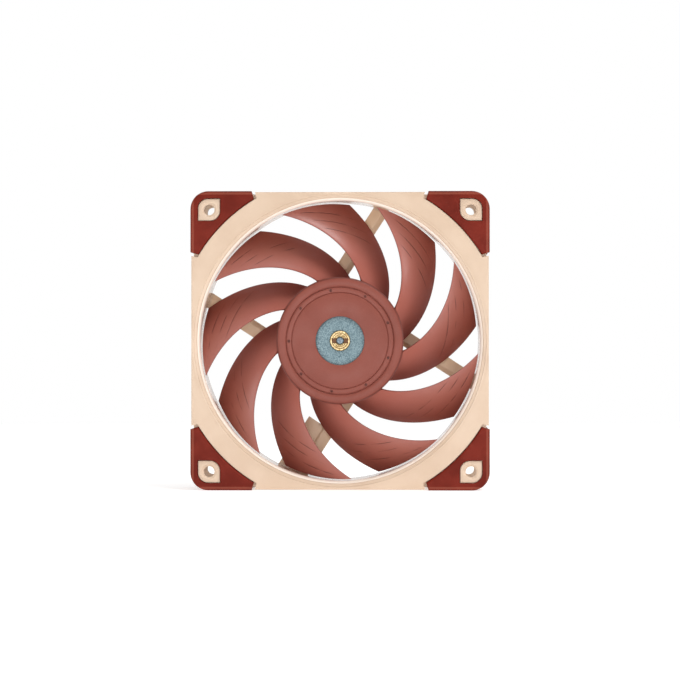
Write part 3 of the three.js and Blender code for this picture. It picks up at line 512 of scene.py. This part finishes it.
# %% [markdown]
# ## Corner outlines
# Every corner of the fan repeats the same two outlines. The pad runs along both sides and is cut
# off by an arc about the fan's axis. The screw boss is a square with two opposite corners rounded,
# so it looks like a leaf that points at the fan's centre.

# %% Corner outlines
HOLE_AT = HALF - 7.5
PAD_ARC = 66.41
PAD_LEG_START = HALF - 24.5
PAD_CORNER = 7.2
BOSS_HALF = 4.35
BOSS_ROUND = 3.9
SEAT_GAP = 0.3


def pad_outline(reach, corner, radius, leg_start, slant=1.0):
    tip = math.degrees(math.asin((leg_start - slant) / radius))
    middle = reach - corner
    return (
        arc(radius, tip, 90 - tip, 36)
        + [(leg_start, reach)]
        + arc(corner, 90, 0, 16, (middle, middle))
        + [(reach, leg_start)]
    )


def leaf_outline(grow):
    half, rounding = BOSS_HALF + grow, BOSS_ROUND + grow
    low, high = HOLE_AT - half, HOLE_AT + half
    return (
        [(high, low)]
        + arc(rounding, 0, 90, 14, (high - rounding, high - rounding))
        + [(low, high)]
        + arc(rounding, 180, 270, 14, (low + rounding, low + rounding))
    )


def square_outline(half, corner, steps=12):
    centre = half - corner
    signs = ((1, 1, 0), (-1, 1, 90), (-1, -1, 180), (1, -1, 270))
    return [p for sx, sy, a in signs for p in arc(corner, a, a + 90, steps, (sx * centre, sy * centre))]


print("pad outline points:", len(pad_outline(HALF, PAD_CORNER, PAD_ARC, PAD_LEG_START)))

# %% [markdown]
# ## Rubber pads
# Each pad is a cap over the corner of a flange, with a skirt down both sides and a small lip hooked
# behind it. The rim is well rounded, which draws a light line along its outer edge; the rubber's
# painted highlight near the rim makes that line stronger. One pad is made and turned to the four
# corners; turned over, the same pad fits the rear flanges.

# %% Rubber pads
FLANGE_BACK = FRAME_FRONT - 4.0
SKIRT_INSIDE = HALF - 1.0
PAD_UNDERSIDE = DEPTH - 1.7
LIP_INSIDE = SKIRT_INSIDE - 1.2
LIP_FRONT = FLANGE_BACK - SEAT_GAP

pad = slab(pad_outline(HALF, PAD_CORNER, PAD_ARC, PAD_LEG_START), PAD_LIP_REAR, DEPTH, 0.95, "top", 4)
pad = combine(pad, slab(square_outline(SKIRT_INSIDE, PAD_CORNER - 1), LIP_FRONT, PAD_UNDERSIDE), "DIFFERENCE")
pad = combine(pad, slab(square_outline(LIP_INSIDE, PAD_CORNER - 2.2), PAD_LIP_REAR - 1, PAD_UNDERSIDE - 0.5), "DIFFERENCE")
pad = combine(pad, slab(leaf_outline(0.22), PAD_LIP_REAR - 1, DEPTH + 1), "DIFFERENCE")
CORNERS = ("top_right", "top_left", "bottom_left", "bottom_right")


def turned_over(bm):
    """The shape turned over, front to rear, about its corner's diagonal."""
    diagonal = Matrix.Rotation(math.pi, 3, Vector((1, 1, 0)))
    bmesh.ops.rotate(bm, verts=bm.verts[:], cent=(0, 0, DEPTH / 2), matrix=diagonal)
    return bm


for number, corner in enumerate(CORNERS):
    front, rear = f"front_pad_{corner}", f"rear_pad_{corner}"
    finished(f"{front}_rubber", copy_turned(pad, number * 90), pad_rubber, "housing", [front])
    finished(
        f"{rear}_rubber", copy_turned(turned_over(pad.copy()), number * 90), pad_rubber, "housing", [rear])

# %% [markdown]
# ## Frame shell
# The duct is turned: a wall with two small ledges round the intake, a short flare, and a wider
# flare at the outlet. It is trimmed to a square so that its sides come out flat. Flanges are slabs
# with the pads' seats sunk in their corners, and the screw bosses stand up through the pads.

# %% Duct
WALL_HALF = FRAME_HALF - 0.6
BORE = WALL_HALF - 2.8
DUCT_OUT = WALL_HALF + 1.4
mouth = [(DUCT_OUT, FRAME_FRONT), (58.75, FRAME_FRONT), (58.65, FRAME_FRONT - 0.75), (57.55, FRAME_FRONT - 0.85)]
throat = [(57.4, FRAME_FRONT - 1.6), (56.95, FRAME_FRONT - 1.75), (56.55, FRAME_FRONT - 2.3), (56.3, FRAME_FRONT - 3.1)]
bore = [(BORE, FRAME_FRONT - 4.2), (BORE, FRAME_REAR + 3.4), (BORE + 0.35, FRAME_REAR + 2.0), (BORE + 0.8, FRAME_REAR + 0.9)]
outlet = [(BORE + 1.4, FRAME_REAR), (DUCT_OUT, FRAME_REAR)]
duct = turn(mouth + throat + bore + outlet, 0.12, 180, sharp=(0,))
trimmed = slab(square_outline(WALL_HALF, PAD_CORNER), FRAME_REAR - 1, FRAME_FRONT + 1)
duct = combine(duct, trimmed, "INTERSECT")
print("bore radius", BORE, "mm")

# %% Flange with its pad seats and screw bosses
SEAT_EDGE = SKIRT_INSIDE - SEAT_GAP
STRIP_END = PAD_LEG_START - SEAT_GAP - 0.8
PAD_SEAT = PAD_UNDERSIDE - SEAT_GAP

corner_seat = pad_outline(HALF + 1, 1.0, PAD_ARC - SEAT_GAP, STRIP_END)
flange = slab(square_outline(FRAME_HALF, PAD_CORNER - 0.4), FLANGE_BACK, FRAME_FRONT, 0.3, "both", 3)
flange = combine(flange, turn([(0, FLANGE_BACK - 2), (WALL_HALF - 0.1, FLANGE_BACK - 2), (WALL_HALF - 0.1, DEPTH + 1), (0, DEPTH + 1)], 0, 180), "DIFFERENCE")
skirt_room = combine(
    slab(corner_seat, FLANGE_BACK - 1, FRAME_FRONT + 2),
    slab(square_outline(SEAT_EDGE, PAD_CORNER - 1.3), FLANGE_BACK - 2, FRAME_FRONT + 3),
    "DIFFERENCE")
seat_room = slab(corner_seat, PAD_SEAT, FRAME_FRONT + 2)
boss = slab(leaf_outline(0.0), FLANGE_BACK + 1, FRAME_FRONT, 0.22, "top", 2)
for turn_by in (0, 90, 180, 270):
    flange = combine(flange, copy_turned(skirt_room, turn_by), "DIFFERENCE")
    flange = combine(flange, copy_turned(seat_room, turn_by), "DIFFERENCE")
    flange = combine(flange, copy_turned(boss, turn_by), "UNION")
print("flange faces:", len(flange.faces))

# %% [markdown]
# The two flanges and the duct become one shell. A shallow ledge is then sunk round the intake, and
# the screw holes are drilled through both flanges with a small countersink at each face.

# %% Join the shell and drill it
rear_flange = turned_over(flange.copy())
shell = combine(combine(duct, flange, "UNION"), rear_flange, "UNION")
ledge = turn([(0, FRAME_FRONT - 0.14), (59.8, FRAME_FRONT - 0.14), (59.8, DEPTH + 2), (0, DEPTH + 2)], 0, 180)
shell = combine(shell, ledge, "DIFFERENCE")
drill = turn(
    [(0, FRAME_REAR - 0.6), (3.85, FRAME_REAR - 0.6), (2.15, FRAME_REAR + 0.6), (2.15, FRAME_FRONT - 0.6),
     (3.85, FRAME_FRONT + 0.6), (0, FRAME_FRONT + 0.6)], 0, 48)
bmesh.ops.translate(drill, verts=drill.verts[:], vec=(HOLE_AT, HOLE_AT, 0))
for turn_by in (0, 90, 180, 270):
    shell = combine(shell, copy_turned(drill, turn_by), "DIFFERENCE")
print("shell faces:", len(shell.faces))

# %% [markdown]
# ## Struts and the lead's channel
# Four straight struts hold the motor. Each one leaves the motor base nearly tangentially, which
# spreads out the moments when a blade passes it and keeps the fan quiet. A strut's section is a low
# roof with its ridge off centre, so one side is darker than the other. Beside one strut a roofed
# channel leads the wires out through the duct wall; it is open to the rear.

# %% Struts
STRUT_ANGLE = 57.1
STRUT_OFFSET = 15.2
STRUT_HALF = 3.1
STRUT_REAR = FRAME_REAR + 0.12
STRUT_TOP = FRAME_REAR + 3.8
STRUT_SHOULDER = FRAME_REAR + 2.6
STRUT_END = 55.8


def bar(section, start, end, round_mm=0.25, which=0):
    """A bar along a strut: its section is across it, as (offset, height)."""
    bm = bmesh.new()
    face = face_of(bm, section, lambda across, height: (start, STRUT_OFFSET + across, height))
    if round_mm:
        bmesh.ops.bevel(
            bm, geom=face.verts[:], offset=round_mm, offset_type="OFFSET", segments=2, profile=0.5,
            affect="VERTICES", clamp_overlap=True, material=-1)
    far = bmesh.ops.extrude_face_region(bm, geom=bm.faces[:])["geom"]
    bmesh.ops.translate(bm, verts=[v for v in far if isinstance(v, bmesh.types.BMVert)], vec=(end - start, 0, 0))
    bmesh.ops.recalc_face_normals(bm, faces=bm.faces[:])
    bmesh.ops.rotate(
        bm, verts=bm.verts[:], cent=(0, 0, 0),
        matrix=Matrix.Rotation(math.radians(STRUT_ANGLE + which * 90), 3, "Z"))
    return bm


roof = [(-STRUT_HALF, STRUT_REAR), (STRUT_HALF, STRUT_REAR), (STRUT_HALF, STRUT_SHOULDER),
        (-1.1, STRUT_TOP), (-STRUT_HALF, STRUT_SHOULDER)]
struts = [bar(roof, 18.0, STRUT_END, 0.25, which) for which in range(4)]
print("struts:", len(struts))

# %% The lead's channel, and its way out
CABLE_STRUT = 2
near, far = -STRUT_HALF + 1.2, -STRUT_HALF - 6.2
channel_top = STRUT_SHOULDER + 0.7
channel_roof = bar([(far, channel_top - 1.4), (near, channel_top - 1.4), (near, channel_top), (far, channel_top)],
                   33.0, 57.6, 0.2, CABLE_STRUT)
channel_wall = bar([(far, STRUT_REAR), (far + 1.2, STRUT_REAR), (far + 1.2, channel_top - 0.3), (far, channel_top - 0.3)],
                   33.0, 57.6, 0.2, CABLE_STRUT)
way_out = bar([(-STRUT_HALF - 5, -1), (-STRUT_HALF, -1), (-STRUT_HALF, channel_top - 1.4), (-STRUT_HALF - 5, channel_top - 1.4)],
              34.2, 70.0, 0, CABLE_STRUT)
groove = bar([(-STRUT_HALF - 1, -1), (-STRUT_HALF + 2.4, -1), (-STRUT_HALF + 2.4, FRAME_REAR + 1.8), (-STRUT_HALF - 1, FRAME_REAR + 1.8)],
             17.0, 35.0, 0, CABLE_STRUT)
shell = combine(shell, way_out, "DIFFERENCE")
struts[CABLE_STRUT] = combine(struts[CABLE_STRUT], groove, "DIFFERENCE")
heart = turn([(0, FRAME_REAR - 2), (24.7, FRAME_REAR - 2), (24.7, FRAME_REAR + 8), (0, FRAME_REAR + 8)], 0, 128)
spokes = combine(gathered(struts), heart, "DIFFERENCE")
finished("frame_shell", shell, beige_plastic, "housing", ["frame"], 24)
finished(
    "frame_struts", gathered([spokes, channel_roof, channel_wall]), beige_plastic, "housing", ["frame"])

# %% [markdown]
# ## Motor base and label
# The struts meet in a shallow cup that holds the motor's board. Its rear face is sunk a quarter of
# a millimetre for the round label.

# %% Motor base and label
BASE_RADIUS, BASE_CUP, BASE_TOP = 25.5, 23.9, FRAME_REAR + 4.5
TUBE_BORE, TUBE_RADIUS = 5.16, 6.96
LABEL_SEAT = FRAME_REAR + 0.35
FLOOR_TOP = LABEL_SEAT + 1.7
base = turn([
    (TUBE_BORE, LABEL_SEAT), (LABEL_RADIUS + 0.3, LABEL_SEAT), (LABEL_RADIUS + 0.3, FRAME_REAR),
    (BASE_RADIUS, FRAME_REAR), (BASE_RADIUS, BASE_TOP), (BASE_CUP, BASE_TOP), (BASE_CUP, FLOOR_TOP),
    (8.06, FLOOR_TOP), (8.06, FLOOR_TOP + 0.7), (TUBE_RADIUS, FLOOR_TOP + 0.7),
    (TUBE_RADIUS, FLOOR_TOP + 3.6), (TUBE_BORE, FLOOR_TOP + 3.6)], 0.2, 128)
finished("motor_base", base, beige_plastic, "housing", ["frame"])

label = turn([(0, FRAME_REAR), (LABEL_RADIUS, FRAME_REAR), (LABEL_RADIUS, FRAME_REAR + 0.25), (0, FRAME_REAR + 0.25)], 0.05, 128)
finished("round_label", label, label_film, "housing", ["rear_label"])

# %% [markdown]
# ## Impeller hub
# The hub is a turned cup. Its face has a rounded outer rim, a sunk ring with nine small balancing
# pockets, and a round window over the steel cup of the motor.

# %% Impeller hub
HUB_RADIUS = 25.5
hub = turn([
    (9.8, HUB_FRONT - 1.3), (9.8, HUB_FRONT - 0.15), (19.2, HUB_FRONT - 0.15), (19.25, HUB_FRONT - 0.52),
    (19.5, HUB_FRONT - 0.52), (19.55, HUB_FRONT - 0.2), (21.3, HUB_FRONT - 0.2), (21.4, HUB_FRONT - 0.75),
    (21.7, HUB_FRONT - 0.75), (21.85, HUB_FRONT - 0.25), (22.7, HUB_FRONT - 0.05), (23.4, HUB_FRONT),
    (24.3, HUB_FRONT - 0.06), (24.95, HUB_FRONT - 0.28), (25.35, HUB_FRONT - 0.7), (HUB_RADIUS, HUB_FRONT - 1.2),
    (HUB_RADIUS, HUB_REAR), (23.4, HUB_REAR), (23.4, HUB_FRONT - 1.3)], 0.12, 180)
pocket = turn([(0, HUB_FRONT - 1.25), (0.56, HUB_FRONT - 1.25), (0.62, HUB_FRONT + 1), (0, HUB_FRONT + 1)], 0.02, 20)
bmesh.ops.translate(pocket, verts=pocket.verts[:], vec=(20.5, 0, 0))
pockets = gathered([copy_turned(pocket, 20.5 + 40 * n) for n in range(9)])
hub = combine(hub, pockets, "DIFFERENCE")
print("hub faces:", len(hub.faces))

# %% [markdown]
# ## Blades
# A blade starts as a block that is cut into a fine grid. Each vertex is then moved on to the blade:
# its X becomes the radius, its Z the place along the chord, and its Y the side. The chord's line is
# a curve that starts nearly flat at the leading edge and ends steep, as real fan blades do, because
# the air has to be picked up gently. The edges sweep back towards the tip. Near the hub the blade
# thickens quickly, which gives the small fillet at its root.

# %% Blade surface
BLADES = 9
TIP_RADIUS = BORE - 0.5
LEADING_Z, TRAILING_Z = DEPTH - 3.2, STRUT_TOP + 1.6


def blade_point(radius, chord, side):
    """A point on the blade at a radius, a share of the chord, and a side, +1 or -1."""
    share = (radius - HUB_RADIUS) / (TIP_RADIUS - HUB_RADIUS)
    lead = math.radians(30.6 + 47.3 * share - 3.1 * share**2) * radius
    trail = math.radians(0.9 + 53.8 * share - 8.4 * share**2) * radius
    knee = (lead + (trail - lead) * 0.58, LEADING_Z + (TRAILING_Z - LEADING_Z) * 0.42)
    a, b, c = (1 - chord) ** 2, 2 * chord * (1 - chord), chord**2
    along = a * lead + b * knee[0] + c * trail
    height = a * LEADING_Z + b * knee[1] + c * TRAILING_Z
    slope = Vector((
        (1 - chord) * (knee[0] - lead) + chord * (trail - knee[0]),
        (1 - chord) * (knee[1] - LEADING_Z) + chord * (TRAILING_Z - knee[1]))).normalized()
    thick = 2.3 + (1.3 - 2.3) * share + 1.5 * math.exp(-(radius - HUB_RADIUS) / 0.7)
    half = thick / 2 * (0.18 + 0.82 * (4 * chord**0.8 * (1 - chord**0.8)) ** 0.6)
    along += slope.y * half * side
    height -= slope.x * half * side
    angle = along / radius
    return Vector((radius * math.cos(angle), radius * math.sin(angle), height))


def blade_shape(along_span=34, along_chord=36):
    bm = bmesh.new()
    bmesh.ops.create_cube(bm, size=1.0)
    across = [e for e in bm.edges if abs(e.verts[0].co.x - e.verts[1].co.x) > 0.5]
    bmesh.ops.subdivide_edges(bm, edges=across, cuts=along_span, use_grid_fill=True)
    down = [e for e in bm.edges if abs(e.verts[0].co.z - e.verts[1].co.z) > 0.5]
    bmesh.ops.subdivide_edges(bm, edges=down, cuts=along_chord, use_grid_fill=True)
    layer = bm.loops.layers.uv.new("blade")
    for face in bm.faces:
        for loop in face.loops:
            loop[layer].uv = (loop.vert.co.z + 0.5, loop.vert.co.x + 0.5)
    root = HUB_RADIUS - 1.0
    for vert in bm.verts:
        radius = root + (TIP_RADIUS - root) * (vert.co.x + 0.5)
        chord = 0.5 - 0.5 * math.cos(math.pi * (vert.co.z + 0.5))
        vert.co = blade_point(max(radius, root), chord, 1 if vert.co.y > 0 else -1)
    return bm


blade = blade_shape()
blades = gathered([copy_turned(blade, n * 360 / BLADES) for n in range(BLADES)])
impeller = gathered([hub, blades])
bmesh.ops.recalc_face_normals(impeller, faces=impeller.faces[:])
finished("impeller_moulding", impeller, impeller_plastic, "rotor", ["impeller"], 40)

# %% [markdown]
# ## Motor centre
# Through the hub's window shows the drawn steel cup, lifted a little in the middle, and pressed in
# it a turned brass bushing with two slots across its rim. The shaft's ground end sits in the brass.

# %% Steel cup
lift = 0.5
cup = turn([
    (4.1, YOKE_FRONT - 1.2), (YOKE_RADIUS - 1.2, YOKE_FRONT - 1.2), (YOKE_RADIUS - 1.2, YOKE_REAR),
    (YOKE_RADIUS, YOKE_REAR), (YOKE_RADIUS, YOKE_FRONT), (10.0, YOKE_FRONT), (10.0, YOKE_FRONT + lift),
    (4.1, YOKE_FRONT + lift)], 0.16, 128)
finished("steel_cup", cup, plated_steel, "rotor", ["rotor_yoke"])

# %% Brass bushing and shaft end
bushing = turn([
    (1.6, BUSHING_REAR), (5.2, BUSHING_REAR), (5.2, BUSHING_REAR + 1.6), (4.0, BUSHING_REAR + 1.6),
    (4.0, BUSHING_FRONT - 0.12), (3.8, BUSHING_FRONT), (3.25, BUSHING_FRONT), (3.0, BUSHING_FRONT - 0.5),
    (2.5, BUSHING_FRONT - 0.5), (2.3, BUSHING_FRONT - 0.1), (1.95, BUSHING_FRONT - 0.1),
    (1.85, BUSHING_FRONT - 0.6), (1.6, BUSHING_FRONT - 0.6)], 0.06, 64)
slot_tool = slab([(-3.3, -1.0), (3.3, -1.0), (3.3, 1.0), (-3.3, 1.0)], BUSHING_FRONT - 1.7, BUSHING_FRONT + 1)
bushing = combine(bushing, slot_tool, "DIFFERENCE")
finished("brass_bushing", bushing, turned_brass, "rotor", ["hub_bushing"])

SHAFT_REAR, SHAFT_FRONT = (corner.z for corner in fan_box("shaft"))
shaft = turn([
    (0, SHAFT_REAR), (0.9, SHAFT_REAR + 0.12), (1.5, SHAFT_REAR + 0.6), (1.5, SHAFT_REAR + 1.1),
    (1.1, SHAFT_REAR + 1.1), (1.1, SHAFT_REAR + 1.7), (1.5, SHAFT_REAR + 1.7), (1.5, SHAFT_FRONT - 0.3),
    (1.2, SHAFT_FRONT), (0, SHAFT_FRONT)], 0.05, 48)
finished("ground_shaft", shaft, ground_steel, "rotor", ["shaft"])

# %% [markdown]
# ## Finishes for the hidden motor parts
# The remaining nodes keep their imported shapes. A CAD node takes a finish by having it put in its
# material slots.

# %% Hidden motor parts
HIDDEN = {
    "ring_magnet": ferrite, "stabiliser_magnet": ferrite, "shaft_clip": ground_steel,
    "bearing_housing": turned_brass, "bearing_sleeve": sintered_bronze, "thrust_pad": nylon,
    "oil_seal": black_resin, "stator_core": laminated_steel, "front_insulator": nylon,
    "rear_insulator": nylon, "circuit_board": board_mask,
}
for name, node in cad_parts.items():
    finish = HIDDEN.get(name)
    if name.startswith("coil_pin"):
        finish = ground_steel
    elif name.startswith("coil_"):
        finish = enamelled_copper
    if finish is None and not node.hide_render:
        finish = black_resin
    if finish:
        node.data.materials.clear()
        node.data.materials.append(finish.material)
print("hidden parts finished:", len(HIDDEN))

# %% [markdown]
# ## Floor, light and camera
# The fan stands on a small lit table in soft studio light. The backdrop has to be pure white, but a
# room that white on every side would wash the colours out. So the world asks what kind of ray it
# meets: the light that soaks into a surface comes from a dimmer room than the light that is seen
# or mirrored. Soft panels in front, at both sides and above give the plastic its highlights.

# %% Floor
floor_mesh = bpy.data.meshes.new("floor")
floor_bm = bmesh.new()
bmesh.ops.create_grid(floor_bm, x_segments=1, y_segments=1, size=0.8)
bmesh.ops.translate(floor_bm, verts=floor_bm.verts[:], vec=(0, 0, cad_low.z))
floor_bm.to_mesh(floor_mesh)
floor_bm.free()
floor = bpy.data.objects.new("floor", floor_mesh)
bpy.context.scene.collection.objects.link(floor)
floor_finish = Finish(
    "lit_table", Roughness=0.9, Specular_IOR_Level=0.1,
    Emission_Color=(1.0, 1.0, 1.0, 1.0), Emission_Strength=0.50)
floor_finish.surface(Base_Color=floor_finish.mix(floor_finish.noise(6.0), (0.84, 0.84, 0.84, 1), (0.87, 0.87, 0.87, 1)))
floor_mesh.materials.append(floor_finish.material)

# %% World
SOAKED_ROOM = 0.34
SEEN_ROOM = 1.0
scene = bpy.context.scene
scene.view_settings.view_transform = "Standard"
world = bpy.data.worlds.new("bright_room")
scene.world = world
world.use_nodes = True
background = world.node_tree.nodes["Background"]
rays = world.node_tree.nodes.new("ShaderNodeLightPath")
strength = world.node_tree.nodes.new("ShaderNodeMapRange")
strength.inputs["To Min"].default_value = SEEN_ROOM
strength.inputs["To Max"].default_value = SOAKED_ROOM
world.node_tree.links.new(rays.outputs["Is Diffuse Ray"], strength.inputs["Value"])
world.node_tree.links.new(strength.outputs[0], background.inputs["Strength"])
background.inputs["Color"].default_value = (1.0, 1.0, 1.0, 1.0)
print("room strength:", SEEN_ROOM, "seen,", SOAKED_ROOM, "soaked in")


# %% Light
def panel(name, place, width, height, brightness):
    """A soft rectangular light of a given brightness that faces the fan."""
    lamp = bpy.data.lights.new(name, "AREA")
    lamp.shape, lamp.size, lamp.size_y = "RECTANGLE", width, height
    lamp.energy = brightness * math.pi * width * height
    holder = bpy.data.objects.new(name, lamp)
    holder.location = place
    holder.rotation_euler = (-Vector(place)).to_track_quat("-Z", "Y").to_euler()
    scene.collection.objects.link(holder)
    return holder


panel("front_panel", (0.0, -1.3, 0.36), 0.9, 0.6, 0.35)
panel("key_panel", (0.44, -0.34, 0.92), 0.50, 0.45, 6.6)
panel("left_panel", (-1.00, -0.26, 0.20), 0.32, 0.50, 2.4)
panel("right_panel", (1.00, -0.26, 0.05), 0.32, 0.50, 4.0)
panel("low_panel", (0.0, -0.32, cad_low.z + 0.001), 0.50, 0.20, 2.5)
panel("top_panel", (0.0, 0.15, 1.10), 1.0, 1.0, 0.9)

# %% Camera
CAMERA_DISTANCE = 0.9
camera_data = bpy.data.cameras.new("camera")
camera_data.sensor_width = 36.0
camera_data.lens = 36.0 * CAMERA_DISTANCE / 0.2722
camera = bpy.data.objects.new("camera", camera_data)
aim = Vector((0.00004, cad_low.y, 0.00028))
camera.location = (0.014, cad_low.y - CAMERA_DISTANCE, -0.003)
camera.rotation_euler = (aim - camera.location).to_track_quat("-Z", "Y").to_euler()
scene.collection.objects.link(camera)
scene.camera = camera
print("lens", round(camera_data.lens, 1), "mm")
